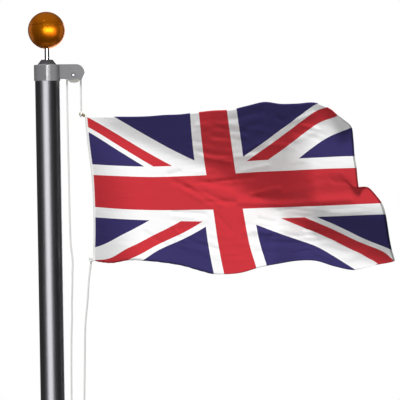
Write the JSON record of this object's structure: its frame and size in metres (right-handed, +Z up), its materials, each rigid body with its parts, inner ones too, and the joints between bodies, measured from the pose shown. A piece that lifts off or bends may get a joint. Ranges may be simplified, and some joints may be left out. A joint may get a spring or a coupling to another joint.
{
  "type": "flagpole",
  "caption": "Garden flagpole: sectional metal tube on a bolted shoe base, with a gold ball finial, pulley truck, cleat, halyard and a flying flag that hoists and lowers.",
  "frame": {"origin": "middle of the underside of the base shoe, at ground level", "axes": "+Z up the pole, +X from the pole towards the pulley arm and the flag"},
  "size_m": [0.7386, 0.3825, 3.1093],
  "materials": {
    "cast_shoe": "as cast, lightly dressed",
    "pole_tube": "satin anodised",
    "truck_moulding": "moulded grey",
    "sheave_nylon": "natural nylon",
    "bright_steel": "polished",
    "gold_ball": "polished gold",
    "cleat_casting": "tumbled casting",
    "halyard_rope": "braided polyester",
    "toggle_wood": "turned hardwood",
    "flag_bunting": "woven polyester bunting",
    "heading_canvas": "canvas"
  },
  "bodies": {
    "pole": {"base_shoe": "cast_shoe", "lower_section": "pole_tube", "middle_section": "pole_tube", "upper_section": "pole_tube", "truck": "truck_moulding", "sheave_pin": "bright_steel", "finial_stem": "bright_steel", "ball_lower": "gold_ball", "ball_upper": "gold_ball", "cleat": "cleat_casting", "halyard_fall": "halyard_rope", "halyard_upper": "halyard_rope", "halyard_lower": "halyard_rope"},
    "sheave": {"sheave": "sheave_nylon"},
    "flag": {"flag_cloth": "flag_bunting", "flag_heading": "heading_canvas", "head_rope": "halyard_rope", "toggle": "toggle_wood", "halyard_eye": "halyard_rope", "tail_bend": "halyard_rope"}
  },
  "joints": [
    {"name": "flag_hoist", "type": "slide", "parent": "pole", "child": "flag", "axis": [0, 0, 1], "range_m": [-0.95, 0], "deforming": ["halyard_upper", "halyard_lower"]},
    {"name": "sheave_turn", "type": "hinge", "parent": "pole", "child": "sheave", "pos_m": [0.0548, 0, 2.979], "axis": [0, 1, 0], "continuous": true}
  ],
  "couplings": [
    {"joint": "sheave_turn", "follows": "flag_hoist", "rad_per_m": -70.422}
  ]
}
